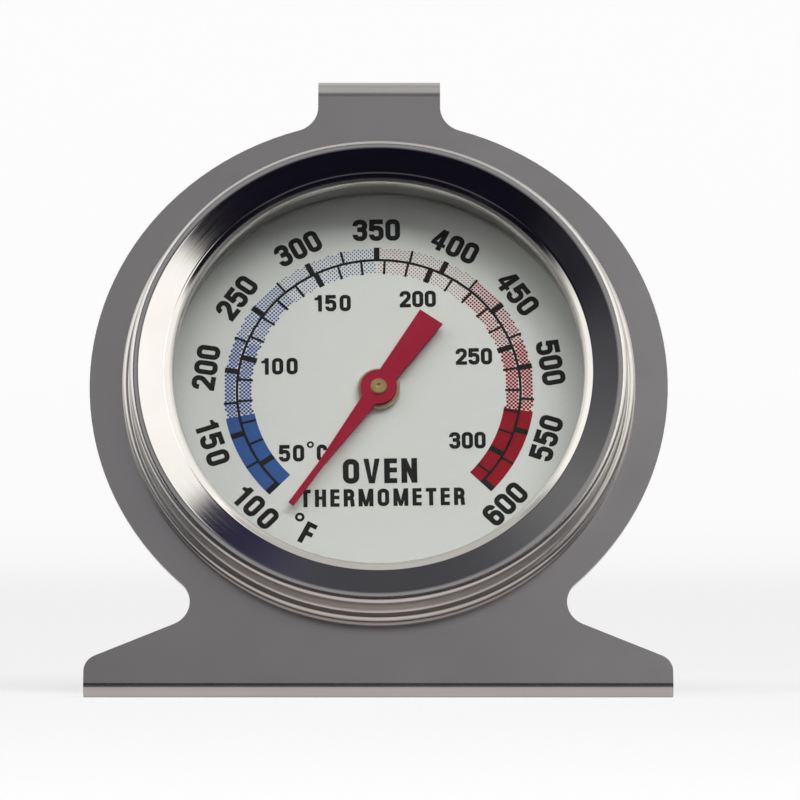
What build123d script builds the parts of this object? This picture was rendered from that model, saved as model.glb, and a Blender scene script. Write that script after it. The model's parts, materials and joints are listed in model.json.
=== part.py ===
from build123d import *
import os
from math import cos, radians, sin

# A dial oven thermometer: a folded sheet-steel stand, which also hangs from a rack bar, carrying a round
# case with a bimetal movement behind a printed dial.
#
# Row frame, in millimetres: +Z up, the dial looks towards -Y, and the origin is the centre of the foot's
# flat underside. The stand leans back, so most pieces are drawn in the dial's own directions: x across,
# "up" along the plate, and "height" along the dial's axis, from the plate's front face towards the viewer.
# Turned pieces are (radius, height) sections revolved about the dial's axis.

# ---------------------------------------------------------------- driving dimensions

LEAN = 21.0  # how far the plate leans back from upright, degrees

# Stand: one blank, folded at the foot and at the hook
PLATE_T = 0.5
DISC_R = 30.0
CASE_HOLE_R = 24.75
FOOT_WIDTH = 60.0
FOOT_LENGTH = 28.0
FOOT_BEND_R = 0.85
FOOT_FOLD_UP = -32.95
FOOT_SHOULDER_UP = -30.45
FOOT_SLOPE = 0.426
FOOT_CORNER_R = 1.8
FOOT_REAR_CORNER_R = 3.5
NECK_R = 2.6
TAB_WIDTH = 12.9
TAB_ROOT_R = 2.8
HOOK_FOLD_UP = 32.75
HOOK_BEND_R = 2.25
HOOK_RUN = 4.0
HOOK_CLOSING_TURN = 80.0
HOOK_LEG = 5.0

# Case and bezel
CUP_T = 0.4
CUP_FLANGE_R = 26.05
CUP_FLANGE_AT = 0.54
CUP_MOUTH_R = 24.4
CUP_BODY_R = 22.1
CUP_LEDGE_AT = -2.7
CUP_BACK_AT = -9.4
BEZEL_T = 0.3
HEM_R = 26.44
HEM_LOW = 0.17
HEM_HIGH = 1.15
HEM_TUCK_R = 25.3
RIM_WALL_R = 25.6
RIM_HIGH = 4.2
SHOULDER_R = 24.9  # where the bezel's flat rim turns into the band, which falls towards the window
BAND_FALL = 0.1405
BEVEL_R = 22.15
BEVEL_FALL = 0.48
LIP_R = 21.35
LIP_END = 2.72
VENT_COUNT = 8
VENT_R = 12.5
VENT_LENGTH = 8.0
VENT_WIDTH = 1.8
LOCKING_RING_R = 26.4
LOCKING_RING_T = 0.7
LOCKING_NOTCH_COUNT = 8
LOCKING_NOTCH_WIDTH = 1.6
LOCKING_NOTCH_DEPTH = 0.7

# Window and dial
GLASS_R = 25.1
GLASS_LOW = 1.05
GLASS_T = 1.6
GLASS_CHAMFER = 0.15
GASKET_R = (24.3, 25.2)
GASKET_T = 0.25
SPACER_T = 0.3
SPACER_FLANGE_R = 24.0
SPACER_WALL_R = 22.55
SPACER_INNER_R = 22.05
SPACER_HIGH = 0.83
SPACER_LOW = -1.93
DIAL_R = 24.0
DIAL_T = 0.4
DIAL_HOLE_R = 1.75
DIAL_FACE = -2.1

# Turning pieces
SHAFT_R = 0.6
SHAFT_BORE_R = 0.61
SHAFT_REAR = -9.8
SHAFT_CHAMFER = 0.15
POINTER_FACE = -1.0
POINTER_T = 0.4
POINTER_REST = 214.75  # where the pointer rests, degrees clockwise from the top of the dial
POINTER_TIP = 15.8
POINTER_TIP_WIDTH = 0.6
POINTER_TAPER_END = 10.5
POINTER_WAIST = 1.85
POINTER_TAIL = 9.6
POINTER_TAIL_WIDTH = 2.84
POINTER_BOSS_R = 1.9
PEEN_R = 0.86
PEEN_T = 0.25
DIMPLE_R = 0.3
HUB_R = 2.2
HUB_T = 0.6
WASHER_R = 1.4
WASHER_T = 0.25
COLLET_R = 1.5
COLLET_LOW = -7.75
COLLET_SLOT_FLOOR_R = 0.85
CLIP_R = 1.4
CLIP_T = 0.3
CLIP_GROOVE_R = 0.45

# Fixed pieces of the movement
BEARING_BORE_R = 0.63
FRONT_BUSH_R = 1.7
FRONT_BUSH_TOP = -2.05
REAR_BUSH_R = 1.6
REAR_BUSH_HEAD_R = 2.0
REAR_BUSH_HEAD_T = 0.35
BUSH_FLANGE_R = 2.6
BUSH_FLANGE_T = 0.5
BRIDGE_T = 0.5
BRIDGE_WIDTH = 7.0
BRIDGE_TOP_AT = -2.85
BRIDGE_LEG_X = 15.5
BRIDGE_FOOT_X = 20.2
RIVET_X = 18.2
RIVET_R = 1.0
RIVET_HEAD_R = 1.8
RIVET_HEAD_T = 0.55
RIVET_HEAD_ROUND = 0.3
COIL_T = 0.35
COIL_LOW = -7.4
COIL_HIGH = -4.4
COIL_INNER_R = 1.9
COIL_PITCH = 1.3
COIL_HALF_TURNS = 14
COIL_TAIL = 1.8
COIL_SLOT_WIDTH = 0.5
ANCHOR_R = 1.1
ANCHOR_TAIL_R = 0.75
ANCHOR_HEAD_R = 1.4
ANCHOR_STANDS_PROUD = 0.4
FIT_GAP = 0.02
END_PLAY = 0.1

# ---------------------------------------------------------------- shared places and directions

lean_sin = sin(radians(LEAN))
lean_cos = cos(radians(LEAN))
foot_outer_r = FOOT_BEND_R + PLATE_T / 2
disc_height = foot_outer_r * (1 + lean_sin) - FOOT_FOLD_UP * lean_cos
disc_y = -FOOT_LENGTH / 2 - FOOT_FOLD_UP * lean_sin - foot_outer_r * lean_cos

FACE = Plane(origin=(0, disc_y, disc_height), x_dir=(1, 0, 0), z_dir=(0, -lean_cos, lean_sin))
BEHIND = Plane(origin=FACE.origin, x_dir=-FACE.x_dir, z_dir=-FACE.z_dir)
SECTION = Plane(origin=FACE.origin, x_dir=FACE.x_dir, z_dir=-FACE.y_dir)
DIAL_AXIS = Axis(FACE.origin, FACE.z_dir)
COIL_PLANE = Plane(origin=FACE.origin, x_dir=-FACE.y_dir, z_dir=FACE.z_dir)


def in_dial(x, up, height):
    """The row-frame place of a point given in the dial's own directions."""
    return FACE.from_local_coords((x, up, height))


def ring_section(inner_r, outer_r, low, high):
    """Section of a plain ring or disc, ready to be revolved about the dial's axis."""
    with BuildSketch(SECTION) as section:
        with BuildLine():
            Polyline((inner_r, low), (outer_r, low), (outer_r, high), (inner_r, high), close=True)
        make_face()
    return section.sketch


def sheet_section(thickness, points, bend_radii):
    """Section of formed sheet: the path through its middle, with a rounded bend at each inner point."""
    with BuildSketch(SECTION) as section:
        with BuildLine():
            FilletPolyline(*points, radius=bend_radii)
        trace(line_width=thickness)
    return section.sketch


# ---------------------------------------------------------------- stand

def folded_strip(start, first_turn, run, width, closing_turn=0.0, leg=0.0):
    """A strip of plate that leaves the flat at start, turns back, runs straight and may turn down again.

    first_turn is (radius, degrees), positive when it turns from down to back.
    """
    radius, degrees = first_turn
    leaving = -FACE.y_dir if degrees > 0 else FACE.y_dir
    with BuildLine(Plane.YZ) as path:
        bend = JernArc(start, leaving, radius, degrees)
        straight = PolarLine(bend @ 1, run, direction=bend % 1)
        if closing_turn:
            closing = JernArc(straight @ 1, straight % 1, radius, closing_turn)
            PolarLine(closing @ 1, leg, direction=closing % 1)
    with BuildPart() as strip:
        with BuildSketch(Plane(origin=start, x_dir=(1, 0, 0), z_dir=leaving)):
            Rectangle(width, PLATE_T)
        sweep(path=path.line)
    return strip.part


foot_start = in_dial(0, FOOT_FOLD_UP, -PLATE_T / 2)
hook_start = in_dial(0, HOOK_FOLD_UP, -PLATE_T / 2)
foot_strip = folded_strip(foot_start, (FOOT_BEND_R, 90 + LEAN), FOOT_LENGTH, FOOT_WIDTH)
hook_strip = folded_strip(
    hook_start, (HOOK_BEND_R, -90), HOOK_RUN, TAB_WIDTH, -HOOK_CLOSING_TURN, HOOK_LEG
)

shoulder_x = FOOT_WIDTH / 2
root_x = 15.0
root_up = FOOT_SHOULDER_UP + FOOT_SLOPE * (shoulder_x - root_x)

with BuildPart() as stand_plate:
    add(foot_strip)
    rear_corners = edges().filter_by(Axis.Z).group_by(Axis.Y)[-1]
    fillet(rear_corners, FOOT_REAR_CORNER_R)
    add(hook_strip)
    with BuildSketch(FACE) as blank:
        Circle(DISC_R)
        with BuildLine():
            Polyline(
                (-shoulder_x, FOOT_FOLD_UP),
                (shoulder_x, FOOT_FOLD_UP),
                (shoulder_x, FOOT_SHOULDER_UP),
                (root_x, root_up),
                (-root_x, root_up),
                (-shoulder_x, FOOT_SHOULDER_UP),
                close=True,
            )
        make_face()
        with Locations((0, HOOK_FOLD_UP)):
            Rectangle(TAB_WIDTH, HOOK_FOLD_UP, align=(Align.CENTER, Align.MAX))
        for low_up, high_up, corner_r in (
            (FOOT_SHOULDER_UP - 0.1, FOOT_SHOULDER_UP + 0.1, FOOT_CORNER_R),
            (FOOT_SHOULDER_UP + 0.1, 0, NECK_R),
            (0, HOOK_FOLD_UP - 1, TAB_ROOT_R),
        ):
            corners = blank.vertices().filter_by_position(Axis.Y, low_up, high_up)
            fillet(corners.filter_by(lambda v: abs(v.X) > 1), corner_r)
        Circle(CASE_HOLE_R, mode=Mode.SUBTRACT)
    extrude(amount=-PLATE_T)
stand_plate.part.label = "stand_plate"

# ---------------------------------------------------------------- case

cup_floor = CUP_BACK_AT + CUP_T / 2
cup_underside = CUP_BACK_AT - CUP_T / 2
cup_outer_r = CUP_MOUTH_R + CUP_T / 2
anchor_at = COIL_INNER_R + COIL_HALF_TURNS * COIL_PITCH / 2

with BuildPart() as case_cup:
    revolve(
        sheet_section(
            CUP_T,
            [
                (CUP_FLANGE_R, CUP_FLANGE_AT),
                (CUP_MOUTH_R, CUP_FLANGE_AT),
                (CUP_MOUTH_R, CUP_LEDGE_AT),
                (CUP_BODY_R, CUP_LEDGE_AT),
                (CUP_BODY_R, CUP_BACK_AT),
                (0, CUP_BACK_AT),
            ],
            [0.5, 0.35, 0.35, 1.2],
        ),
        axis=DIAL_AXIS,
    )
    with BuildSketch(FACE.offset(cup_underside)):
        with PolarLocations(VENT_R, VENT_COUNT, start_angle=180 / VENT_COUNT):
            SlotOverall(VENT_LENGTH, VENT_WIDTH)
        with Locations((-RIVET_X, 0), (RIVET_X, 0)):
            Circle(RIVET_R)
        with Locations((0, -anchor_at)):
            Circle(ANCHOR_TAIL_R)
        Circle(REAR_BUSH_R)
    extrude(amount=CUP_T, mode=Mode.SUBTRACT)
case_cup.part.label = "case_cup"

with BuildPart() as bezel_ring:
    bevel_height = RIM_HIGH - BAND_FALL * (SHOULDER_R - BEVEL_R)
    lip_height = bevel_height - BEVEL_FALL * (BEVEL_R - LIP_R)
    revolve(
        sheet_section(
            BEZEL_T,
            [
                (HEM_TUCK_R, HEM_LOW),
                (HEM_R, HEM_LOW),
                (HEM_R, HEM_HIGH),
                (RIM_WALL_R, HEM_HIGH),
                (RIM_WALL_R, RIM_HIGH),
                (SHOULDER_R, RIM_HIGH),
                (BEVEL_R, bevel_height),
                (LIP_R, lip_height),
                (LIP_R, LIP_END),
            ],
            [0.35, 0.4, 0.4, 0.4, 3.0, 0.5, 0.25],
        ),
        axis=DIAL_AXIS,
    )
bezel_ring.part.label = "bezel_ring"

# The locking ring is pushed over the case from behind; its notches make the inner edge springy.
with BuildPart() as locking_ring:
    with BuildSketch(FACE.offset(-PLATE_T - LOCKING_RING_T)):
        Circle(LOCKING_RING_R)
        Circle(cup_outer_r, mode=Mode.SUBTRACT)
        with PolarLocations(cup_outer_r, LOCKING_NOTCH_COUNT):
            Rectangle(2 * LOCKING_NOTCH_DEPTH, LOCKING_NOTCH_WIDTH, mode=Mode.SUBTRACT)
    extrude(amount=LOCKING_RING_T)
locking_ring.part.label = "locking_ring"

# ---------------------------------------------------------------- window and dial

gasket_high = GLASS_LOW - FIT_GAP
dial_back = DIAL_FACE - DIAL_T

with BuildPart() as lens_glass:
    revolve(ring_section(0, GLASS_R, GLASS_LOW, GLASS_LOW + GLASS_T), axis=DIAL_AXIS)
    chamfer(edges().filter_by(GeomType.CIRCLE), GLASS_CHAMFER)
lens_glass.part.label = "lens_glass"

with BuildPart() as lens_gasket:
    revolve(ring_section(*GASKET_R, gasket_high - GASKET_T, gasket_high), axis=DIAL_AXIS)
lens_gasket.part.label = "lens_gasket"

with BuildPart() as spacer_ring:
    revolve(
        sheet_section(
            SPACER_T,
            [
                (SPACER_FLANGE_R, SPACER_HIGH),
                (SPACER_WALL_R, SPACER_HIGH),
                (SPACER_WALL_R, SPACER_LOW),
                (SPACER_INNER_R, SPACER_LOW),
            ],
            [0.3, 0.25],
        ),
        axis=DIAL_AXIS,
    )
spacer_ring.part.label = "spacer_ring"

with BuildPart() as dial_plate:
    revolve(ring_section(DIAL_HOLE_R, DIAL_R, dial_back, DIAL_FACE), axis=DIAL_AXIS)
dial_plate.part.label = "dial_plate"

# ---------------------------------------------------------------- fixed pieces of the movement

bridge_under = BRIDGE_TOP_AT - BRIDGE_T / 2
bridge_foot_at = cup_floor + BRIDGE_T / 2
bridge_foot_top = cup_floor + BRIDGE_T

with BuildPart() as movement_bridge:
    extrude(
        sheet_section(
            BRIDGE_T,
            [
                (-BRIDGE_FOOT_X, bridge_foot_at),
                (-BRIDGE_LEG_X, bridge_foot_at),
                (-BRIDGE_LEG_X, BRIDGE_TOP_AT),
                (BRIDGE_LEG_X, BRIDGE_TOP_AT),
                (BRIDGE_LEG_X, bridge_foot_at),
                (BRIDGE_FOOT_X, bridge_foot_at),
            ],
            [0.6, 0.6, 0.6, 0.6],
        ),
        amount=BRIDGE_WIDTH / 2,
        both=True,
    )
    with BuildSketch(FACE.offset(cup_floor)):
        with Locations((-RIVET_X, 0), (RIVET_X, 0)):
            Circle(RIVET_R)
        Circle(FRONT_BUSH_R)
    extrude(amount=BRIDGE_TOP_AT + BRIDGE_T - cup_floor, mode=Mode.SUBTRACT)
movement_bridge.part.label = "movement_bridge"

with BuildPart() as bridge_rivets:
    for head_low in (cup_underside - RIVET_HEAD_T, bridge_foot_top):
        with BuildSketch(FACE.offset(head_low)):
            with Locations((-RIVET_X, 0), (RIVET_X, 0)):
                Circle(RIVET_HEAD_R)
        extrude(amount=RIVET_HEAD_T)
    with BuildSketch(FACE.offset(cup_underside)):
        with Locations((-RIVET_X, 0), (RIVET_X, 0)):
            Circle(RIVET_R)
    extrude(amount=bridge_foot_top - cup_underside)
    rims_by_height = edges().filter_by(GeomType.CIRCLE).group_by(DIAL_AXIS)
    fillet(rims_by_height[0] + rims_by_height[-1], RIVET_HEAD_ROUND)
bridge_rivets.part.label = "bridge_rivets"

with BuildPart() as front_bush:
    revolve(
        ring_section(BEARING_BORE_R, BUSH_FLANGE_R, bridge_under - BUSH_FLANGE_T, bridge_under),
        axis=DIAL_AXIS,
    )
    revolve(ring_section(BEARING_BORE_R, FRONT_BUSH_R, bridge_under, FRONT_BUSH_TOP), axis=DIAL_AXIS)
front_bush.part.label = "front_bush"

with BuildPart() as rear_bush:
    revolve(
        ring_section(BEARING_BORE_R, BUSH_FLANGE_R, cup_floor, cup_floor + BUSH_FLANGE_T),
        axis=DIAL_AXIS,
    )
    revolve(ring_section(BEARING_BORE_R, REAR_BUSH_R, cup_underside, cup_floor), axis=DIAL_AXIS)
    revolve(
        ring_section(BEARING_BORE_R, REAR_BUSH_HEAD_R, cup_underside - REAR_BUSH_HEAD_T, cup_underside),
        axis=DIAL_AXIS,
    )
rear_bush.part.label = "rear_bush"

# The coil's outer end sits in the slot of this post, which is riveted through the case's back.
with BuildPart() as coil_anchor:
    with BuildSketch(COIL_PLANE.offset(cup_underside - RIVET_HEAD_T)):
        with Locations((anchor_at, 0)):
            Circle(ANCHOR_HEAD_R)
    extrude(amount=RIVET_HEAD_T)
    with BuildSketch(COIL_PLANE.offset(cup_underside)):
        with Locations((anchor_at, 0)):
            Circle(ANCHOR_TAIL_R)
    extrude(amount=CUP_T)
    with BuildSketch(COIL_PLANE.offset(cup_floor)):
        with Locations((anchor_at, 0)):
            Circle(ANCHOR_R)
    extrude(amount=COIL_HIGH + ANCHOR_STANDS_PROUD - cup_floor)
    with BuildSketch(COIL_PLANE.offset(COIL_LOW - FIT_GAP)):
        with Locations((anchor_at, 0)):
            Rectangle(COIL_SLOT_WIDTH, 2 * ANCHOR_R + 1)
    extrude(amount=COIL_HIGH - COIL_LOW + 1, mode=Mode.SUBTRACT)
coil_anchor.part.label = "coil_anchor"

# The bimetal strip is a spiral of half turns whose centres alternate by half the pitch. Its inner end is
# bent into the collet's slot and its outer end runs straight through the anchor's.
with BuildPart() as bimetal_coil:
    with BuildSketch(COIL_PLANE.offset(COIL_LOW)):
        with BuildLine():
            for half_turn in range(COIL_HALF_TURNS):
                centre = (half_turn % 2 * COIL_PITCH / 2, 0)
                radius = COIL_INNER_R + half_turn * COIL_PITCH / 2
                CenterArc(centre, radius, half_turn % 2 * 180, 180)
        trace(line_width=COIL_T)
        with Locations(((COLLET_SLOT_FLOOR_R + COIL_INNER_R) / 2 + 0.1, 0)):
            Rectangle(COIL_INNER_R - COLLET_SLOT_FLOOR_R, COIL_T)
        with Locations((anchor_at, COIL_TAIL / 2)):
            Rectangle(COIL_T, COIL_TAIL)
    extrude(amount=COIL_HIGH - COIL_LOW)
bimetal_coil.part.label = "bimetal_coil"

# ---------------------------------------------------------------- turning pieces

pointer_back = POINTER_FACE - POINTER_T
hub_back = pointer_back - HUB_T
washer_high = bridge_under - BUSH_FLANGE_T - END_PLAY
washer_low = washer_high - WASHER_T
clip_low = cup_floor + BUSH_FLANGE_T + END_PLAY
clip_high = clip_low + CLIP_T

rest_sin = sin(radians(POINTER_REST))
rest_cos = cos(radians(POINTER_REST))
POINTER_PLANE = Plane(
    origin=FACE.origin,
    x_dir=FACE.x_dir * rest_cos - FACE.y_dir * rest_sin,
    z_dir=FACE.z_dir,
)

with BuildPart() as pointer:
    with BuildSketch(POINTER_PLANE.offset(pointer_back)):
        with BuildLine():
            right_side = Polyline(
                (POINTER_TIP_WIDTH / 2, POINTER_TIP),
                (POINTER_TIP_WIDTH / 2, POINTER_TAPER_END),
                (POINTER_WAIST / 2, 0),
                (POINTER_TAIL_WIDTH / 2, -POINTER_TAIL),
                (0, -POINTER_TAIL),
            )
            mirror(right_side, about=Plane.YZ)
            Line((-POINTER_TIP_WIDTH / 2, POINTER_TIP), (POINTER_TIP_WIDTH / 2, POINTER_TIP))
        make_face()
        Circle(POINTER_BOSS_R)
        Circle(SHAFT_BORE_R, mode=Mode.SUBTRACT)
    extrude(amount=POINTER_T)
pointer.part.label = "pointer"

with BuildPart() as pointer_hub:
    revolve(ring_section(SHAFT_BORE_R, HUB_R, hub_back, pointer_back), axis=DIAL_AXIS)
pointer_hub.part.label = "pointer_hub"

# The spindle's front end is riveted over the pointer and centre-punched.
with BuildPart() as pointer_shaft:
    with BuildSketch(SECTION):
        with BuildLine():
            Polyline(
                (0, SHAFT_REAR),
                (SHAFT_R - SHAFT_CHAMFER, SHAFT_REAR),
                (SHAFT_R, SHAFT_REAR + SHAFT_CHAMFER),
                (SHAFT_R, clip_low - FIT_GAP),
                (CLIP_GROOVE_R, clip_low - FIT_GAP),
                (CLIP_GROOVE_R, clip_high + FIT_GAP),
                (SHAFT_R, clip_high + FIT_GAP),
                (SHAFT_R, POINTER_FACE),
                (PEEN_R, POINTER_FACE),
                (PEEN_R, POINTER_FACE + PEEN_T / 2),
                (PEEN_R - PEEN_T / 2, POINTER_FACE + PEEN_T),
                (DIMPLE_R, POINTER_FACE + PEEN_T),
                (0, POINTER_FACE + PEEN_T - DIMPLE_R / 2),
                close=True,
            )
        make_face()
    revolve(axis=DIAL_AXIS)
pointer_shaft.part.label = "pointer_shaft"

with BuildPart() as thrust_washer:
    revolve(ring_section(SHAFT_BORE_R, WASHER_R, washer_low, washer_high), axis=DIAL_AXIS)
thrust_washer.part.label = "thrust_washer"

with BuildPart() as coil_collet:
    revolve(ring_section(SHAFT_BORE_R, COLLET_R, COLLET_LOW, washer_low), axis=DIAL_AXIS)
    with BuildSketch(COIL_PLANE.offset(COLLET_LOW)):
        with Locations((COLLET_SLOT_FLOOR_R, 0)):
            Rectangle(COLLET_R, COIL_SLOT_WIDTH, align=(Align.MIN, Align.CENTER))
    extrude(amount=COIL_HIGH + FIT_GAP - COLLET_LOW, mode=Mode.SUBTRACT)
coil_collet.part.label = "coil_collet"

with BuildPart() as shaft_clip:
    with BuildSketch(FACE.offset(clip_low)):
        Circle(CLIP_R)
        Circle(CLIP_GROOVE_R + FIT_GAP / 2, mode=Mode.SUBTRACT)
        Rectangle(2 * CLIP_GROOVE_R, CLIP_R + 1, align=(Align.CENTER, Align.MIN), mode=Mode.SUBTRACT)
    extrude(amount=CLIP_T)
shaft_clip.part.label = "shaft_clip"

# ---------------------------------------------------------------- write the pieces

pieces = [
    stand_plate,
    case_cup,
    bezel_ring,
    locking_ring,
    lens_glass,
    lens_gasket,
    spacer_ring,
    dial_plate,
    movement_bridge,
    bridge_rivets,
    front_bush,
    rear_bush,
    coil_anchor,
    bimetal_coil,
    pointer,
    pointer_hub,
    pointer_shaft,
    thrust_washer,
    coil_collet,
    shaft_clip,
]

os.makedirs("parts", exist_ok=True)
for piece in pieces:
    export_step(piece.part, f"parts/{piece.part.label}.step")
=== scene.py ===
import json
from math import atan2, cos, pi, radians, sin, tan

import bpy
from mathutils import Matrix, Vector
from mathutils.geometry import delaunay_2d_cdt


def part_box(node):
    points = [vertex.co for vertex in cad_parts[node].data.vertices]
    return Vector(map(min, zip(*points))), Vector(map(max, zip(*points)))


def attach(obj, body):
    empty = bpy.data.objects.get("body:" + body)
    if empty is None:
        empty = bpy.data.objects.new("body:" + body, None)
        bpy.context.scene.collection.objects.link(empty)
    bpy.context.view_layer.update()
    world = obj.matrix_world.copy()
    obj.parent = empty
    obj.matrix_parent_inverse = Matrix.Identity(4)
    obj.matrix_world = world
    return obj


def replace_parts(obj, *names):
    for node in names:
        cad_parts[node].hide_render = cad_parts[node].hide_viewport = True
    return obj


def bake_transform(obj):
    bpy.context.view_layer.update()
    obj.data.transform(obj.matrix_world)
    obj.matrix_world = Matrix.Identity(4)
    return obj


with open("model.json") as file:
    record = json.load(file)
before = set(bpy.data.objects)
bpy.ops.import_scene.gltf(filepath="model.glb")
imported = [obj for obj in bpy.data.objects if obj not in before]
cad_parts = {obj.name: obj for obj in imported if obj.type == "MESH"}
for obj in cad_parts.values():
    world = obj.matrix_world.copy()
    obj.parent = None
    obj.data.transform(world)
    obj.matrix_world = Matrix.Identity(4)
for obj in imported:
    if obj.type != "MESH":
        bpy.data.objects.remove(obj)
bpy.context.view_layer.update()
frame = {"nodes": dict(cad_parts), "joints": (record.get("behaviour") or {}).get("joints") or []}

# The looks of the oven thermometer: materials for the CAD pieces, the dial's print, the bimetal coil, and a
# plain studio. The dial has a frame of its own, in millimetres: x across, y up along the plate, z out of
# the dial towards the viewer, with its origin where the pointer's axis meets the plate's front.

MM = 0.001

turn = frame["joints"][0]
CENTRE = Vector(turn["pos_m"])
OUT = -Vector(turn["axis"]).normalized()
ACROSS = Vector((1, 0, 0))
UP = OUT.cross(ACROSS)
FACING = Matrix((ACROSS, UP, OUT)).transposed().to_4x4()
DIAL_TO_ROW = Matrix.Translation(CENTRE) @ FACING @ Matrix.Scale(MM, 4)
ROW_TO_DIAL = DIAL_TO_ROW.inverted()


def extent(node, way):
    """Lowest and highest reach of a CAD node along a direction of the dial's frame, in millimetres."""
    places = [(ROW_TO_DIAL @ v.co).dot(way) for v in frame["nodes"][node].data.vertices]
    return min(places), max(places)


DIAL_FACE = extent("dial_plate", Vector((0, 0, 1)))[1]

# ---------------------------------------------------------------- node materials


class Look:
    """A node material being built: sockets are set to a value or linked to another node's output."""

    def __init__(self, name, **sockets):
        self.material = bpy.data.materials.new(name)
        self.material.use_nodes = True
        self.tree = self.material.node_tree
        self.shader = self.tree.nodes["Principled BSDF"]
        self.set(self.shader, {key.replace("_", " "): value for key, value in sockets.items()})

    def set(self, node, sockets):
        for key, value in sockets.items():
            if isinstance(value, bpy.types.NodeSocket):
                self.tree.links.new(value, node.inputs[key])
            else:
                node.inputs[key].default_value = value

    def add(self, kind, sockets, output=0, **settings):
        node = self.tree.nodes.new("ShaderNode" + kind)
        for name, value in settings.items():
            setattr(node, name, value)
        self.set(node, sockets)
        return node.outputs[output]

    def place(self):
        """Where a point is in the dial's frame, in millimetres."""
        seen = self.add("TexCoord", {}, "Object")
        move = {"Vector": seen, "Location": ROW_TO_DIAL.to_translation()}
        move["Rotation"] = ROW_TO_DIAL.to_3x3().normalized().to_euler()
        move["Scale"] = (1 / MM,) * 3
        return self.add("Mapping", move)

    def stretched(self, factors):
        return self.add("VectorMath", {0: self.place(), 1: factors}, operation="MULTIPLY")

    def turned(self, around, along):
        """A place for streaks that run round the dial's axis."""
        place = self.place()
        flat = self.add("VectorMath", {0: place, 1: (1, 1, 0)}, operation="MULTIPLY")
        radius = self.add("VectorMath", {0: flat}, "Value", operation="LENGTH")
        heading = self.add("VectorMath", {0: flat}, operation="NORMALIZE")
        slow = self.add("VectorMath", {0: heading, 1: (around, around, 0)}, operation="MULTIPLY")
        axial = self.add("SeparateXYZ", {0: place}, "Z")
        across_streaks = self.add("Math", {0: radius, 1: axial}, operation="ADD")
        quick = self.add("Math", {0: across_streaks, 1: along}, operation="MULTIPLY")
        fast = self.add("CombineXYZ", {2: quick})
        return self.add("VectorMath", {0: slow, 1: fast}, operation="ADD")

    def noise(self, place, detail=3.0, scale=1.0):
        return self.add("TexNoise", {"Vector": place, "Scale": scale, "Detail": detail}, "Fac")

    def spread(self, value, low, high):
        """Carries the middle of a noise to a range."""
        ends = {"Value": value, "From Min": 0.3, "From Max": 0.7, "To Min": low, "To Max": high}
        return self.add("MapRange", ends)

    def mean(self, first, second):
        both = self.add("Math", {0: first, 1: second}, operation="ADD")
        return self.add("Math", {0: both, 1: 0.5}, operation="MULTIPLY")

    def blend(self, factor, first, second):
        sockets = {0: factor, 6: (*first, 1), 7: (*second, 1)}
        return self.add("Mix", sockets, 2, data_type="RGBA")

    def bump(self, height, depth):
        return self.add("Bump", {"Height": height, "Strength": 1.0, "Distance": depth * MM})


CLOUD_SCALE = 0.12  # of the soft unevenness in worked metal, per millimetre


def metal(name, colours, roughness, streaks, depth):
    """Metal with streaks left by how it was worked: across the sheet, or turned about the dial's axis."""
    look = Look(name, Metallic=1.0)
    place = look.turned(*streaks) if len(streaks) == 2 else look.stretched(streaks)
    lines = look.noise(place, 4.0)
    clouds = look.noise(look.place(), 3.0, CLOUD_SCALE)
    half = look.mean(lines, clouds)
    look.set(
        look.shader,
        {
            "Base Color": look.blend(look.spread(half, 0.0, 1.0), *colours),
            "Roughness": look.spread(half, *roughness),
            "Normal": look.bump(lines, depth),
        },
    )
    return look.material


# Radii between which the bezel's finish changes, and the roughness of each finish
ROLLED_WALL = (24.95, 25.5)
LIP_EDGE = (21.75, 21.5)
BUFFED = (0.05, 0.08)
ROLLED = (0.28, 0.32)
LIP_ROUGHNESS = 0.34
STEEL_TONES = (0.8, 0.785, 0.77), (0.86, 0.845, 0.825)


def polished_steel():
    """Steel buffed bright on the face; the rolled wall, the hem and the lip's cut edge stay satin."""
    look = Look("polished_steel", Metallic=1.0)
    flat = look.add("VectorMath", {0: look.place(), 1: (1, 1, 0)}, operation="MULTIPLY")
    radius = look.add("VectorMath", {0: flat}, "Value", operation="LENGTH")
    satin = look.add("MapRange", {"Value": radius, "From Min": ROLLED_WALL[0], "From Max": ROLLED_WALL[1]})
    lines = look.noise(look.turned(4.0, 5.0), 4.0)
    clouds = look.noise(look.place(), 3.0, 0.15)
    buffed = look.spread(lines, *BUFFED)
    rolled = look.spread(lines, *ROLLED)
    step = look.add("Math", {0: rolled, 1: buffed}, operation="SUBTRACT")
    outer = look.add("Math", {0: step, 1: satin, 2: buffed}, operation="MULTIPLY_ADD")
    edge = {"Value": radius, "From Min": LIP_EDGE[0], "From Max": LIP_EDGE[1], "To Max": LIP_ROUGHNESS}
    lip = look.add("MapRange", edge)
    roughness = look.add("Math", {0: outer, 1: lip}, operation="ADD")
    look.set(
        look.shader,
        {
            "Base Color": look.blend(look.spread(clouds, 0.0, 1.0), *STEEL_TONES),
            "Roughness": roughness,
            "Normal": look.bump(lines, 0.0003),
        },
    )
    return look.material


def dyed(name, colours, roughness, grain, depth, gloss):
    """Paint, ink or rubber: a slightly uneven colour over a fine grain."""
    look = Look(name, Specular_IOR_Level=gloss)
    clouds = look.noise(look.place(), 3.0, 0.4)
    fine = look.noise(look.place(), 3.0, grain)
    look.set(
        look.shader,
        {
            "Base Color": look.blend(look.spread(clouds, 0.0, 1.0), *colours),
            "Roughness": look.spread(fine, *roughness),
            "Normal": look.bump(fine, depth),
        },
    )
    return look.material


WHITE_TONES = (0.76, 0.755, 0.725), (0.81, 0.805, 0.775)


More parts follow.
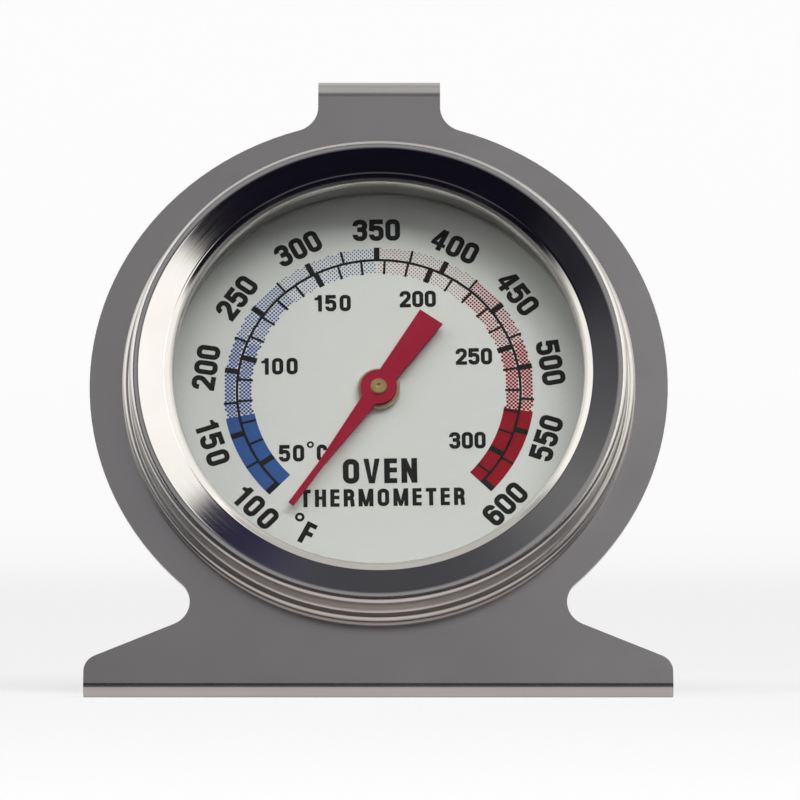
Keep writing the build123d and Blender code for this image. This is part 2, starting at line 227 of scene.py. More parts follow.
def dial_white():
    """Satin off-white coating over brushed sheet: faint streaks across and a scatter of fine specks."""
    look = Look("dial_white", Specular_IOR_Level=0.3)
    streaks = look.noise(look.stretched((0.35, 9.0, 9.0)), 3.0)
    specks = look.noise(look.place(), 2.0, 6.0)
    half = look.mean(streaks, specks)
    look.set(
        look.shader,
        {
            "Base Color": look.blend(look.spread(half, 0.0, 1.0), *WHITE_TONES),
            "Roughness": look.spread(half, 0.42, 0.55),
            "Normal": look.bump(streaks, 0.002),
        },
    )
    return look.material


def window_glass():
    """Clear flat glass: what is behind it, under a thin reflection that grows towards grazing view."""
    look = Look("window_glass")
    facing = look.add("LayerWeight", {"Blend": 0.5}, "Facing")
    rise = look.add("Math", {0: facing, 1: 5.0}, operation="POWER")
    share = look.add("MapRange", {"Value": rise, "To Min": 0.01, "To Max": 0.9})
    smears = look.spread(look.noise(look.place(), 3.0, 0.15), 0.0, 0.04)
    clear = look.add("BsdfTransparent", {"Color": (0.975, 0.985, 0.98, 1)})
    gloss = look.add("BsdfAnisotropic", {"Color": (1, 1, 1, 1), "Roughness": smears})
    surface = look.add("MixShader", {0: share, 1: clear, 2: gloss})
    look.tree.nodes.remove(look.shader)
    look.tree.links.new(surface, look.tree.nodes["Material Output"].inputs["Surface"])
    return look.material


ACROSS_SHEET = (0.05, 6.0, 6.0)
BRASS = (0.74, 0.55, 0.23), (0.86, 0.66, 0.31)
PALE_BRASS = (0.72, 0.62, 0.42), (0.84, 0.73, 0.52)
STAND_STEEL = (0.63, 0.612, 0.618), (0.7, 0.682, 0.688)
DRAWN_STEEL = (0.5, 0.5, 0.5), (0.62, 0.62, 0.61)
RING_STEEL = (0.46, 0.46, 0.46), (0.58, 0.58, 0.57)
SPRING_STEEL = (0.3, 0.3, 0.32), (0.4, 0.4, 0.42)
RIVET_STEEL = (0.42, 0.42, 0.42), (0.56, 0.56, 0.55)
SPACER_METAL = (0.62, 0.62, 0.6), (0.7, 0.7, 0.68)
BIMETAL = (0.45, 0.4, 0.33), (0.56, 0.52, 0.45)
GASKET_FIBRE = (0.66, 0.63, 0.56), (0.76, 0.73, 0.66)
POINTER_RED = (0.36, 0.006, 0.032), (0.41, 0.009, 0.04)
LOOKS = {
    "stand_plate": metal("stand_steel", STAND_STEEL, (0.21, 0.24), ACROSS_SHEET, 0.0003),
    "case_cup": metal("drawn_steel", DRAWN_STEEL, (0.22, 0.38), (1.5, 3.0), 0.003),
    "locking_ring": metal("ring_steel", RING_STEEL, (0.26, 0.4), (3.0, 2.0), 0.003),
    "bezel_ring": polished_steel(),
    "lens_glass": window_glass(),
    "lens_gasket": dyed("gasket_fibre", GASKET_FIBRE, (0.8, 0.95), 5.0, 0.01, 0.2),
    "spacer_ring": metal("spacer_metal", SPACER_METAL, (0.5, 0.6), (2.0, 1.0), 0.0005),
    "dial_plate": dial_white(),
    "pointer": dyed("pointer_red", POINTER_RED, (0.4, 0.52), 6.0, 0.003, 0.1),
    "pointer_shaft": metal("turned_brass", BRASS, (0.42, 0.56), (2.0, 6.0), 0.004),
    "pointer_hub": metal("pale_brass", PALE_BRASS, (0.4, 0.55), (2.0, 4.0), 0.003),
    "bimetal_coil": metal("bimetal_strip", BIMETAL, (0.3, 0.45), (2.0, 3.0), 0.003),
    "shaft_clip": metal("spring_steel", SPRING_STEEL, (0.3, 0.42), (2.0, 4.0), 0.003),
    "bridge_rivets": metal("rivet_steel", RIVET_STEEL, (0.28, 0.42), (3.0, 4.0), 0.004),
}
SAME_AS = {
    "movement_bridge": "case_cup",
    "front_bush": "pointer_shaft",
    "rear_bush": "pointer_shaft",
    "coil_collet": "pointer_shaft",
    "coil_anchor": "bridge_rivets",
    "thrust_washer": "shaft_clip",
}

for name, node in frame["nodes"].items():
    for slot in node.material_slots:
        slot.material = LOOKS[SAME_AS.get(name, name)]

# ---------------------------------------------------------------- building pieces

INK_SUNK = 0.01
INK_HIGH = 0.02
TINT_HIGH = 0.012
PRINT_TWIST = 0.9  # the print sits slightly turned on its plate, degrees
CLOSE_POINTS = 1e-4  # nearer than this, two points of a print are one


def as_piece(name, vertices, faces, material, body):
    """A mesh piece from points in the dial's frame, riding on a body."""
    mesh = bpy.data.meshes.new(name)
    mesh.from_pydata([DIAL_TO_ROW @ Vector(v) for v in vertices], [], faces)
    mesh.materials.append(material)
    piece = bpy.data.objects.new(name, mesh)
    bpy.context.scene.collection.objects.link(piece)
    if body:
        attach(piece, body)
    return piece


def anticlockwise(outline):
    pairs = zip(outline, outline[1:] + outline[:1])
    area = sum(a[0] * b[1] - b[0] * a[1] for a, b in pairs)
    return outline if area > 0 else outline[::-1]


def printed(solids, holes, low, high):
    """Vertices and faces of a film of ink that covers the union of the solid outlines, less the holes."""
    points = []
    outlines = []
    for outline in [*solids, *holes]:
        outlines.append(list(range(len(points), len(points) + len(outline))))
        points += [Vector(p) for p in anticlockwise(outline)]
    found = delaunay_2d_cdt(points, [], outlines, 1, CLOSE_POINTS)
    flat, triangles, sources = found[0], found[2], found[5]
    inked = [t for t, s in zip(triangles, sources) if s and all(i < len(solids) for i in s)]
    used = sorted({corner for t in inked for corner in t})
    index = {corner: i for i, corner in enumerate(used)}
    count = len(used)
    vertices = [(*flat[c], height) for height in (high, low) for c in used]
    faces = []
    edges = set()
    for a, b, c in inked:
        a, b, c = index[a], index[b], index[c]
        faces += [(a, b, c), (c + count, b + count, a + count)]
        edges |= {(a, b), (b, c), (c, a)}
    faces += [(b, a, a + count, b + count) for a, b in sorted(edges) if (b, a) not in edges]
    return vertices, faces


def ink_piece(name, prints, material, high):
    """One piece of ink on the dial from several prints, each a (solids, holes) pair."""
    vertices = []
    faces = []
    for solids, holes in prints:
        more, sides = printed(solids, holes, DIAL_FACE - INK_SUNK, DIAL_FACE + high)
        faces += [tuple(i + len(vertices) for i in face) for face in sides]
        vertices += more
    twist = Matrix.Rotation(radians(PRINT_TWIST), 4, "Z")
    return as_piece(name, [twist @ Vector(v) for v in vertices], faces, material, "case")


# ---------------------------------------------------------------- outlines

ARC_STEP = radians(9)
NEARLY_STRAIGHT = 0.01  # a corner that turns by less than twice this, in radians, isn't rounded


def polar(radius, angle):
    """A point at an angle clockwise from the top of the dial."""
    return radius * sin(angle), radius * cos(angle)


def arc(radius, start, end, step=radians(1.5)):
    count = max(2, round(abs(end - start) / step) + 1)
    return [polar(radius, start + (end - start) * i / (count - 1)) for i in range(count)]


def sector(inner, outer, start, end):
    return arc(inner, start, end) + arc(outer, end, start)


def bar(radius_low, radius_high, angle, width):
    """A radial bar."""
    out, side = Vector(polar(1, angle)), Vector(polar(width / 2, angle + pi / 2))
    near, far = out * radius_low, out * radius_high
    return [tuple(p) for p in (near - side, near + side, far + side, far - side)]


def rounded(points, radii, closed=False):
    """A path through points with its inner corners rounded to the radii, as close points."""
    points = [Vector(p) for p in points]
    count = len(points)
    inner = range(count) if closed else range(1, count - 1)
    path = [] if closed else [points[0]]
    for i, radius in zip(inner, radii):
        here = points[i]
        back = (points[i - 1] - here).normalized()
        on = (points[(i + 1) % count] - here).normalized()
        half = back.angle(on) / 2
        if radius == 0 or half > pi / 2 - NEARLY_STRAIGHT:
            path.append(here)
            continue
        centre = here + (back + on).normalized() * (radius / sin(half))
        first = here + back * (radius / tan(half)) - centre
        last = here + on * (radius / tan(half)) - centre
        sweep = first.angle_signed(last)
        steps = max(2, round(abs(sweep) / ARC_STEP))
        for k in range(steps + 1):
            path.append(centre + Matrix.Rotation(-sweep * k / steps, 2) @ first)
    return path if closed else path + [points[-1]]


def offset(path, distance, closed):
    """The path moved sideways, to its left when distance is positive."""
    moved = []
    count = len(path)
    for i, here in enumerate(path):
        before = path[i - 1] if closed or i else None
        after = path[(i + 1) % count] if closed or i < count - 1 else None
        steps = [(a, b) for a, b in ((before, here), (here, after)) if a is not None and b is not None]
        ways = [(b - a).normalized() for a, b in steps]
        normals = [Vector((-w.y, w.x)) for w in ways]
        middle = sum(normals, Vector((0, 0))).normalized()
        moved.append(here + middle * (distance / middle.dot(normals[0])))
    return moved


def stroke(points, radii, width):
    """Outline of a pen stroke with square ends."""
    path = rounded(points, radii)
    return offset(path, width / 2, False) + offset(path, -width / 2, False)[::-1]


def breadth(outline):
    return max(p[0] for p in outline) - min(p[0] for p in outline)


def loop(corners, radius, width):
    """Outer and inner outlines of a closed pen stroke."""
    path = rounded(corners, [radius] * len(corners), True)
    sides = [offset(path, side * width / 2, True) for side in (1, -1)]
    return sorted(sides, key=breadth, reverse=True)


def block(left, low, right, high):
    return [(left, low), (right, low), (right, high), (left, high)]


# ---------------------------------------------------------------- the bezel and the spacer

BEZEL_PATH = [
    (25.3, 0.17),
    (26.44, 0.17),
    (26.44, 1.15),
    (25.6, 1.15),
    (25.6, 4.2),
    (24.9, 4.2),
    (22.15, 3.814),
    (21.35, 3.43),
    (21.35, 2.72),
]
BEZEL_BENDS = [0.35, 0.4, 0.4, 0.4, 3.0, 0.5, 0.25]
SPACER_PATH = [(24.0, 0.83), (22.55, 0.83), (22.55, -1.93), (22.05, -1.93)]
SPACER_BENDS = [0.3, 0.25]
FORMED_T = 0.3
RING_TURNS = 360


def lathe(name, outline, turns, material, body):
    """A ring turned from a closed (radius, height) outline about the dial's axis, smoothly shaded."""
    vertices = [(*polar(r, 2 * pi * t / turns), h) for t in range(turns) for r, h in outline]
    count = len(outline)
    faces = []
    for t in range(turns):
        here, ahead = t * count, (t + 1) % turns * count
        for i in range(count):
            j = (i + 1) % count
            faces.append((here + i, here + j, ahead + j, ahead + i))
    ring = as_piece(name, vertices, faces, material, body)
    ring.data.polygons.foreach_set("use_smooth", [True] * len(faces))
    return ring


SUPPORT_GAP = 0.06


def held(outline):
    """The outline with extra points close to the ends of its long stretches, so that they shade straight."""
    points = []
    for a, b in zip(outline, outline[1:] + outline[:1]):
        points.append(a)
        if (b - a).length > 5 * SUPPORT_GAP:
            inward = (b - a).normalized() * SUPPORT_GAP
            points += [a + inward, b - inward]
    return points


for name, node, path, bends, slot in (
    ("bezel", "bezel_ring", BEZEL_PATH, BEZEL_BENDS, "polished_steel"),
    ("spacer", "spacer_ring", SPACER_PATH, SPACER_BENDS, "spacer_aluminium"),
):
    outline = held(stroke(path, bends, FORMED_T))
    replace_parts(lathe(name, outline, RING_TURNS, LOOKS[node], "case"), node)

# ---------------------------------------------------------------- the bimetal coil

COIL_T = 0.35
COIL_INNER_R = 1.9
COIL_PITCH = 1.3
COIL_HALF_TURNS = 14
COIL_TAB_R = 0.95
COIL_TAIL = 1.8
COIL_STEP = radians(6)
coil_low, coil_high = extent("bimetal_coil", Vector((0, 0, 1)))


def coil_path():
    """Middle line of the strip from the collet out: half turns whose centres alternate by half the pitch."""
    path = [Vector((0, -COIL_TAB_R))]
    steps = round(pi / COIL_STEP)
    for half_turn in range(COIL_HALF_TURNS):
        odd = half_turn % 2
        radius = COIL_INNER_R + half_turn * COIL_PITCH / 2
        for k in range(half_turn > 0, steps + 1):
            angle = odd * pi + pi * k / steps
            path.append(Vector((radius * sin(angle), -odd * COIL_PITCH / 2 - radius * cos(angle))))
    path.append(path[-1] + Vector((COIL_TAIL, 0)))
    return path


def wound_strip(name, path):
    """The strip as a mesh along the path, between the coil's lowest and highest reach."""
    sides = offset(path, COIL_T / 2, False), offset(path, -COIL_T / 2, False)
    heights = coil_low, coil_low, coil_high, coil_high
    rings = [[(*p, z) for p, z in zip((a, b, b, a), heights)] for a, b in zip(*sides)]
    vertices = [corner for ring in rings for corner in ring]
    faces = [(3, 2, 1, 0), tuple(len(vertices) - 4 + i for i in range(4))]
    for here in range(0, len(vertices) - 4, 4):
        faces += [(here + i, here + (i + 1) % 4, here + 4 + (i + 1) % 4, here + 4 + i) for i in range(4)]
    piece = as_piece(name, vertices, faces, LOOKS["bimetal_coil"], None)
    lengths = [0.0]
    for a, b in zip(path, path[1:]):
        lengths.append(lengths[-1] + (b - a).length)
    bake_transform(piece)
    return piece


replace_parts(wound_strip("coil", coil_path()), "bimetal_coil")

# ---------------------------------------------------------------- lettering

# Plain condensed capitals and figures in units of their height, each as its width, solid outlines and holes.
PEN = 0.22
FIGURE_W = 0.63
GLYPH_W = {"E": 0.49, "F": 0.47, "H": 0.6, "M": 0.8, "N": 0.6, "O": 0.62, "R": 0.57, "T": 0.57, "V": 0.62}
GLYPH_W |= {"C": 0.58, "1": 0.42, "°": 0.4}
ARM = PEN * 0.9
CROSSBAR = PEN * 0.95
TURN_MAX = 0.17
TURN_ROOM = 0.012
DEGREE_R = (0.2, 0.09)
OPEN_GAP = 0.19


def glyph(sign):
    low, high = PEN / 2, 1 - PEN / 2
    w = GLYPH_W.get(sign, FIGURE_W)
    left, right = PEN / 2, w - PEN / 2
    stem = block(0, 0, PEN, 1)
    far_stem = block(w - PEN, 0, w, 1)
    turn = min(TURN_MAX, (right - left) / 2 - TURN_ROOM)
    if sign in "0O":
        outer, inner = loop(block(left, low, right, high), turn, PEN)
        return w, [outer], [inner]
    if sign == "°":
        ring = [arc(r, 0, 1.9 * pi, ARC_STEP) for r in DEGREE_R]
        outer, inner = ([(DEGREE_R[0] + x, 1.0 + y) for x, y in circle] for circle in ring)
        return w, [outer], [inner]
    if sign == "1":
        flag = [(0.0, 0.69), (0.22, 0.69), (0.22, 1.0), (0.14, 0.87), (0.0, 0.82)]
        return w, [block(0.2, 0, 0.2 + PEN, 1), flag], []
    if sign == "2":
        path = [(left, 0.66), (left, high), (right, high), (right, 0.58), (left, 0.14), (left, 0.05)]
        back = stroke(path, [turn, turn, 0.25, 0.12], PEN)
        return w, [back, block(0, 0, w, CROSSBAR)], []
    if sign == "3":
        path = [(left, 0.7), (left, high), (right, high), (right, 0.53), (0.2, 0.53)]
        over = stroke(path, [turn, turn, 0.17], PEN)
        path = [(0.2, 0.53), (right, 0.53), (right, low), (left, low), (left, 0.3)]
        under = stroke(path, [0.17, turn, turn], PEN)
        return w, [over, under], []
    if sign == "4":
        slope = [(0.0, 0.2), (0.0, 0.36), (0.25, 1.0), (0.45, 1.0), (0.18, 0.33), (0.18, 0.2)]
        return w, [block(0.3, 0, 0.3 + PEN, 1), block(0, 0.2, w, 0.37), slope], []
    if sign == "5":
        flag = stroke([(w - 0.03, high), (0.13, high), (left, 0.47)], [0], PEN)
        path = [(left, 0.45), (left + 0.03, 0.6), (right, 0.6), (right, low), (left, low), (left, 0.3)]
        bowl = stroke(path, [0.12, turn, turn, turn], PEN)
        return w, [flag, bowl], []
    if sign == "6":
        outer, inner = loop(block(left, low, right, 0.56), turn, PEN)
        back = stroke([(left, 0.25), (left, high), (right, high), (right, 0.7)], [turn, turn], PEN)
        return w, [outer, back], [inner]
    if sign == "C":
        path = [(right, 0.66), (right, high), (left, high), (left, low), (right, low), (right, 0.34)]
        return w, [stroke(path, [turn] * 4, PEN)], []
    if sign == "E":
        return w, [stem] + [block(0, y, w, y + ARM) for y in (0, 0.43, 1 - ARM)], []
    if sign == "F":
        return w, [stem] + [block(0, y, w, y + ARM) for y in (0.4, 1 - ARM)], []
    if sign == "H":
        return w, [stem, far_stem, block(0, 0.42, w, 0.6)], []
    if sign == "M":
        mid = w / 2
        dip = [(0, 1), (0.24, 1), (mid, 0.34), (w - 0.24, 1), (w, 1), (mid + 0.08, 0), (mid - 0.08, 0)]
        return w, [stem, far_stem, dip], []
    if sign == "N":
        return w, [stem, far_stem, [(0, 1), (0.2, 1), (w, 0), (w - 0.2, 0)]], []
    if sign == "R":
        bowl = stroke([(0.05, high), (right, high), (right, 0.49), (0.05, 0.49)], [turn, turn], PEN)
        leg = stroke([(0.2, 0.47), (right - 0.01, 0.45), (right, 0.2), (right + 0.03, 0)], [0.12, 0.3], PEN)
        return w, [stem, bowl, leg], []
    if sign == "T":
        return w, [block(0, 1 - CROSSBAR, w, 1), block((w - PEN) / 2, 0, (w + PEN) / 2, 1)], []
    if sign == "V":
        mid = w / 2
        wedge = [(0, 1), (0.2, 1), (mid, 0.26), (w - 0.2, 1), (w, 1), (mid + 0.11, 0), (mid - 0.11, 0)]
        return w, [wedge], []
    raise ValueError(sign)


def lettering(words, middle, height, width=None, angle=0.0):
    """Prints of a line of lettering centred on a point, spaced to fill a width and turned clockwise."""
    glyphs = [glyph(sign) for sign in words]
    natural = sum(g[0] for g in glyphs)
    gap = (width / height - natural) / (len(glyphs) - 1) if width else OPEN_GAP
    start = -(natural + gap * (len(glyphs) - 1)) / 2
    turning = Matrix.Rotation(-angle, 2)

    def placed(outline, left):
        points = [turning @ (Vector((x + left, y - 0.5)) * height) for x, y in outline]
        return [tuple(Vector(middle) + point) for point in points]

    prints = []
    for wide, solids, holes in glyphs:
        prints.append(([placed(o, start) for o in solids], [placed(o, start) for o in holes]))
        start += wide + gap
    return prints


# ---------------------------------------------------------------- the dial's print

ARC_R = 14.76
BAND_OUT_R = 16.2
BAND_IN_R = 13.15
ARC_LINE = 0.28
THIN_TICK = 0.25
THICK_TICK = 0.6
F_TOP = 350
F_RANGE = (100, 600)
F_MARKS = 25
C_RANGE = (50, 310)
C_MARKS = 10
NUMERAL_EVERY = 50
DEGREES_PER_F = 0.54
BLUE_END = 164
RED_START = 534
F_TEXT_R = 18.2
F_TEXT_H = 2.46
F_TEXT_W = 5.0
C_TEXT_H = 1.86
C_TEXT_W = 3.8
C_UNIT_PLACE = (-7.95, -6.9)
C_UNIT_W = 5.0
F_UNIT_R = 17.5
F_UNIT_ANGLE = 152
TITLE = (
    ("dial_title", "OVEN", (0.0, -9.0), 2.74, 7.7),
    ("dial_subtitle", "THERMOMETER", (0.2, -11.94), 1.93, 17.0),
)
C_NUMERALS = {
    100: (-10.31, 2.87),
    150: (-4.69, 9.93),
    200: (4.23, 10.26),
    250: (9.98, 3.67),
    300: (9.11, -5.74),
}


def angle_f(value):
    return radians(DEGREES_PER_F * (value - F_TOP))


def angle_c(value):
    return angle_f(value * 9 / 5 + 32)


def scale_lines():
    """The scale's arc with its marks: Fahrenheit outwards, Celsius inwards."""
    half = ARC_LINE / 2
    lines = [sector(ARC_R - half, ARC_R + half, angle_f(F_RANGE[0]), angle_f(F_RANGE[1]))]
    for value in range(F_RANGE[0], F_RANGE[1] + 1, F_MARKS):
        width = THIN_TICK if value % NUMERAL_EVERY else THICK_TICK
        inset = {F_RANGE[0]: 1, F_RANGE[1]: -1}.get(value, 0) * width / 2
        lines.append(bar(ARC_R, BAND_OUT_R, angle_f(value) + inset / ARC_R, width))
    for value in range(C_RANGE[0], C_RANGE[1] + 1, C_MARKS):
        width = THIN_TICK if value % NUMERAL_EVERY else THICK_TICK
        lines.append(bar(BAND_IN_R, ARC_R, angle_c(value), width))
    return [(lines, [])]


def numerals():
    """Fahrenheit numerals stand on the circle, turned over in its lower half; Celsius stand upright."""
    prints = []
    for value in range(F_RANGE[0], F_RANGE[1] + 1, NUMERAL_EVERY):
        angle = angle_f(value)
        over = pi if abs(angle) > pi / 2 else 0.0
        prints += lettering(str(value), polar(F_TEXT_R, angle), F_TEXT_H, F_TEXT_W, angle + over)
    for value, middle in C_NUMERALS.items():
        prints += lettering(str(value), middle, C_TEXT_H, C_TEXT_W)
    prints += lettering("50°C", C_UNIT_PLACE, C_TEXT_H, C_UNIT_W)
    unit_at = polar(F_UNIT_R, radians(-F_UNIT_ANGLE))
    prints += lettering("°F", unit_at, F_TEXT_H, None, radians(180 - F_UNIT_ANGLE))
    return prints


SCREEN_PITCH = 0.3
OCTAGON = 2.828  # area of an octagon whose corners are 1 from its middle


def dots(coverage, start, end):
    """A halftone screen over both bands between two Fahrenheit values, its rows at 45 degrees."""
    pitch = SCREEN_PITCH
    size = pitch * (coverage / OCTAGON) ** 0.5
    reach = int(BAND_OUT_R / pitch * 1.5)
    outlines = []
    for i in range(-reach, reach + 1):
        for j in range(-reach, reach + 1):
            x, y = (i + j) * pitch / 2 ** 0.5, (i - j) * pitch / 2 ** 0.5
            radius, angle = Vector((x, y)).length, atan2(x, y)
            inside = BAND_IN_R + size < radius < BAND_OUT_R - size
            if not inside or not angle_f(start) < angle < angle_f(end):
                continue
            if abs(radius - ARC_R) < ARC_LINE / 2:
                continue
            corners = [(size * cos(k * pi / 4), size * sin(k * pi / 4)) for k in range(8)]
            outlines.append([(x + across, y + up) for across, up in corners])
    return [([outline], []) for outline in outlines]


# Halftone screens between the solid bands: coverage, first and last Fahrenheit value.
BLUE_SCREENS = [(0.64, BLUE_END, 225), (0.44, 225, 275), (0.24, 275, F_TOP)]
RED_SCREENS = [(0.16, F_TOP, 425), (0.44, 425, 480), (0.66, 480, RED_START)]

black_ink = dyed("black_ink", ((0.012, 0.011, 0.012), (0.02, 0.018, 0.018)), (0.5, 0.65), 4.0, 0.001, 0.1)
blue_ink = dyed("blue_ink", ((0.036, 0.1, 0.31), (0.046, 0.115, 0.35)), (0.5, 0.65), 4.0, 0.001, 0.1)
red_ink = dyed("red_ink", ((0.3, 0.004, 0.014), (0.34, 0.006, 0.019)), (0.5, 0.65), 4.0, 0.001, 0.1)

ink_piece("scale_lines", scale_lines(), black_ink, INK_HIGH)
ink_piece("scale_numerals", numerals(), black_ink, INK_HIGH)
for name, words, middle, height, width in TITLE:
    ink_piece(name, lettering(words, middle, height, width), black_ink, INK_HIGH)
cold = sector(BAND_IN_R, BAND_OUT_R, angle_f(F_RANGE[0]), angle_f(BLUE_END))
hot = sector(BAND_IN_R, BAND_OUT_R, angle_f(RED_START), angle_f(F_RANGE[1]))
ink_piece("blue_band", [([cold], [])], blue_ink, TINT_HIGH)
ink_piece("red_band", [([hot], [])], red_ink, TINT_HIGH)
ink_piece("blue_screen", [p for s in BLUE_SCREENS for p in dots(*s)], blue_ink, TINT_HIGH)
ink_piece("red_screen", [p for s in RED_SCREENS for p in dots(*s)], red_ink, TINT_HIGH)

# ---------------------------------------------------------------- studio

CAMERA_DISTANCE = 0.6
CAMERA_PITCH = radians(1.0)
CAMERA_LENS = 260.2
AIM_ACROSS, AIM_DOWN = 2.21, 1.79
DOWN = -Vector((0, -sin(CAMERA_PITCH), cos(CAMERA_PITCH)))
AIM = CENTRE + ACROSS * AIM_ACROSS * MM + DOWN * AIM_DOWN * MM


class Sky(Look):
    """The room that polished metal reflects: soft-edged panes of light, placed by azimuth and elevation."""

    def __init__(self, name):
        world = bpy.data.worlds.new(name)
        bpy.context.scene.world = world
        world.use_nodes = True
        world.cycles_visibility.diffuse = False
        self.tree = world.node_tree
        self.background = self.tree.nodes["Background"]
        heading = self.add("TexCoord", {}, "Generated")
        self.x, self.y, self.z = (self.add("SeparateXYZ", {0: heading}, axis) for axis in "XYZ")
        front = self.add("Math", {0: self.y, 1: -1.0}, operation="MULTIPLY")
        self.azimuth = self.add("Math", {0: self.x, 1: front}, operation="ARCTAN2")
        self.elevation = self.add("Math", {0: self.z}, operation="ARCSINE")
        self.light = None

    def within(self, angle, middle, half, soft):
        """1 where an angle is within half of the middle, falling to 0 over its soft edge."""
        apart = self.add("Math", {0: angle, 1: radians(middle)}, operation="SUBTRACT")
        away = self.add("Math", {0: apart}, operation="ABSOLUTE")
        ends = {"Value": away, "From Min": radians(half - soft), "From Max": radians(half + soft)}
        return self.add("MapRange", {**ends, "To Min": 1.0, "To Max": 0.0}, interpolation_type="SMOOTHSTEP")

    def pane(self, azimuth, elevation, half_width, half_height, soft, colour):
        across = self.within(self.azimuth, azimuth, half_width, soft)
        up = self.within(self.elevation, elevation, half_height, soft)
        both = self.add("Math", {0: across, 1: up}, operation="MULTIPLY")
        lit = self.add("VectorMath", {0: colour, "Scale": both}, operation="SCALE")
        self.light = self.add("VectorMath", {0: self.light, 1: lit}, operation="ADD") if self.light else lit

    def shine(self, base):
        light = self.add("VectorMath", {0: self.light, 1: base}, operation="ADD")
        self.set(self.background, {"Color": light})


GLOW_REACH = (0.1, 1.2)


def stage_mesh(name, vertices, faces, grey, glow, tint=(1, 1, 1)):
    """A piece of the studio, whose glow goes from near to far with the distance from the object."""
    mesh = bpy.data.meshes.new(name)
    mesh.from_pydata(vertices, [], faces)
    mesh.polygons.foreach_set("use_smooth", [True] * len(faces))
    look = Look(name, Roughness=0.9, Specular_IOR_Level=0.0)
    here = look.add("TexCoord", {}, "Object")
    distance = look.add("VectorMath", {0: here}, "Value", operation="LENGTH")
    near, far = GLOW_REACH
    ends = {"Value": distance, "From Min": near, "From Max": far, "To Min": glow[0], "To Max": glow[1]}
    strength = look.add("MapRange", ends)
    look.set(look.shader, {"Base Color": (*[grey] * 3, 1), "Emission Color": (*tint, 1)})
    look.set(look.shader, {"Emission Strength": strength})
    mesh.materials.append(look.material)
    thing = bpy.data.objects.new(name, mesh)
    bpy.context.scene.collection.objects.link(thing)
    thing.visible_diffuse = False
    return thing


def towards(azimuth, elevation):
    """Direction from the object, azimuth 0 straight to the front and positive to the right."""
    a, e = radians(azimuth), radians(elevation)
    return Vector((sin(a) * cos(e), -cos(a) * cos(e), sin(e)))


FLOOR_GREY = 0.35
FLOOR_GLOW = (0.66, 0.88)


def floor():
    """A wide pale floor that curves up into a low wall all round."""
    flat_r, bend_r, wall = 1.1, 0.3, 0.12
    profile = [(0.05, 0.0), (0.5, 0.0), (flat_r - 0.05, 0.0), (flat_r, 0.0)]
    for a in range(10, 91, 10):
        profile.append((flat_r + bend_r * sin(radians(a)), bend_r * (1 - cos(radians(a)))))
    profile.append((flat_r + bend_r, bend_r + wall))
    turns = 96
    headings = [2 * pi * t / turns for t in range(turns)]
    vertices = [(r * cos(heading), r * sin(heading), z) for r, z in profile for heading in headings]
    rings = len(profile)
    faces = [list(range(turns))]
    for ring in range(rings - 1):
        for t in range(turns):
            a, b = ring * turns + t, ring * turns + (t + 1) % turns
            faces.append((b, a, a + turns, b + turns))
    thing = stage_mesh("floor", vertices, faces, FLOOR_GREY, FLOOR_GLOW)
    thing.visible_glossy = False


LAMP_DISTANCE = 1.2


def softbox(name, azimuth, elevation, width, height, radiance):
    """A lamp for the painted and printed surfaces, which metal doesn't mirror."""
    lamp = bpy.data.lights.new(name, "AREA")
    lamp.shape = "RECTANGLE"
    lamp.size, lamp.size_y = width, height
    lamp.energy = radiance * pi * width * height
    thing = bpy.data.objects.new(name, lamp)
    bpy.context.scene.collection.objects.link(thing)
    thing.location = CENTRE + towards(azimuth, elevation) * LAMP_DISTANCE
    thing.rotation_euler = (thing.location - CENTRE).to_track_quat("Z", "Y").to_euler()
    thing.visible_camera = thing.visible_glossy = False


floor()
# A bright strip on the floor before the foot, for the foot's bend to reflect
PAD_HALF, PAD_DEPTH, PAD_UNDER, PAD_UP = 0.05, 0.02, 0.001, 0.0001
PAD_GLOW = (0.58, 0.58)
PAD_TINT = (1.0, 0.92, 0.89)
foot_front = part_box("stand_plate")[0][1]
pad_ends = foot_front - PAD_DEPTH, foot_front + PAD_UNDER
pad_sides = -PAD_HALF, PAD_HALF, PAD_HALF, -PAD_HALF
pad_corners = [(x, y, PAD_UP) for x, y in zip(pad_sides, sorted(pad_ends * 2))]
pad = stage_mesh("pad", pad_corners, [(0, 1, 2, 3)], 0.0, PAD_GLOW, PAD_TINT)
pad.visible_camera = pad.visible_shadow = False

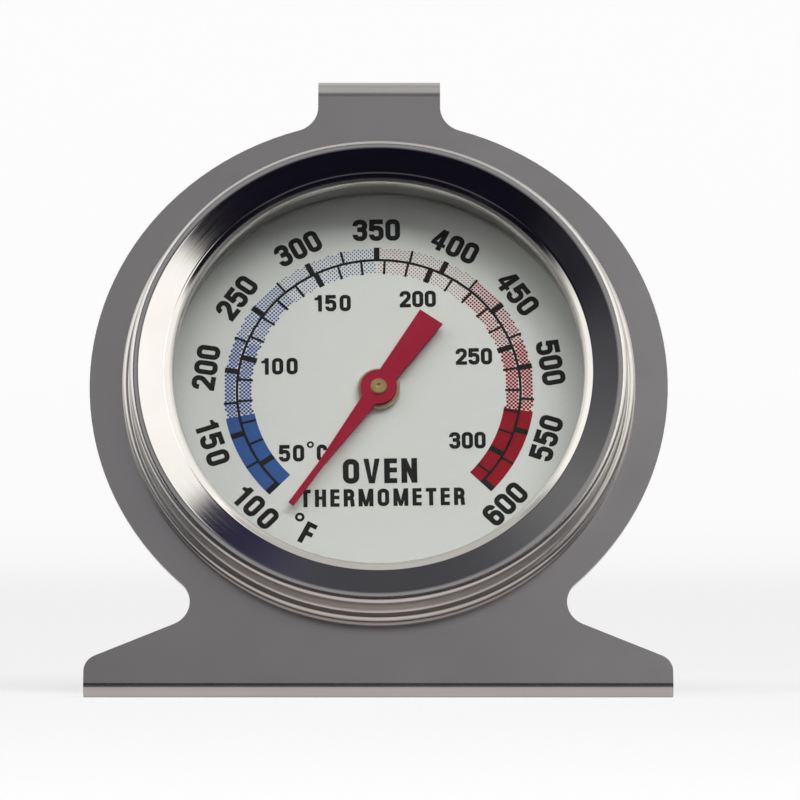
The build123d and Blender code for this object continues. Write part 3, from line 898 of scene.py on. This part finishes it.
# Lamps: azimuth, elevation, width, height, radiance
softbox("main", 3, 60, 0.9, 0.75, 3.37)
softbox("right", 45, 45, 0.6, 0.5, 4.6)
softbox("left", -65, 32, 0.5, 0.7, 3.2)
softbox("fill", 0, 15, 1.2, 0.9, 0.71)

# Panes: azimuth, elevation, half width, half height, softness of the edge, colour
sky = Sky("studio")
for azimuth, elevation, half_width, half_height, soft, colour in (
    (-85, 51, 94, 12.5, 3, (0.06, 0.06, 0.064)),  # dim upper wall, left of the front
    (-3, 43.5, 9, 7, 4, (0.23, 0.224, 0.227)),  # what the stand's plate mirrors
    (-15, 50, 4, 3.5, 7, (0.16, 0.16, 0.155)),
    (20, 43.3, 10, 8.1, 0.8, (1.15, 1.13, 1.08)),  # sharp end of the right window
    (64, 42, 38, 23, 3, (1.1, 1.07, 1.01)),  # right window
    (14, 55, 7, 3, 3, (0.02, 0.018, 0.045)),
    (0, 12, 24, 10, 4, (0.06, 0.058, 0.06)),  # low front
    (-72, 38, 34, 22, 7, (1.05, 1.03, 0.98)),  # left window
    (0, 90, 180, 26, 4, (0.55, 0.54, 0.51)),  # ceiling
    (180, 20, 75, 42, 6, (0.6, 0.6, 0.6)),  # room behind, right half and left half
    (-180, 20, 75, 42, 6, (0.6, 0.6, 0.6)),
    (125, -45, 55, 42, 10, (0.35, 0.35, 0.35)),  # floor behind, right half and left half
    (-125, -45, 55, 42, 10, (0.35, 0.35, 0.35)),
):
    sky.pane(azimuth, elevation, half_width, half_height, soft, colour)
sky.shine((0.005, 0.0045, 0.009))

eye = bpy.data.cameras.new("camera")
eye.lens = CAMERA_LENS
eye.clip_start, eye.clip_end = 0.01, 10
camera = bpy.data.objects.new("camera", eye)
bpy.context.scene.collection.objects.link(camera)
camera.location = AIM - Vector((0, cos(CAMERA_PITCH), sin(CAMERA_PITCH))) * CAMERA_DISTANCE
camera.rotation_euler = (pi / 2 + CAMERA_PITCH, 0, 0)
bpy.context.scene.camera = camera
bpy.context.scene.view_settings.view_transform = "Standard"
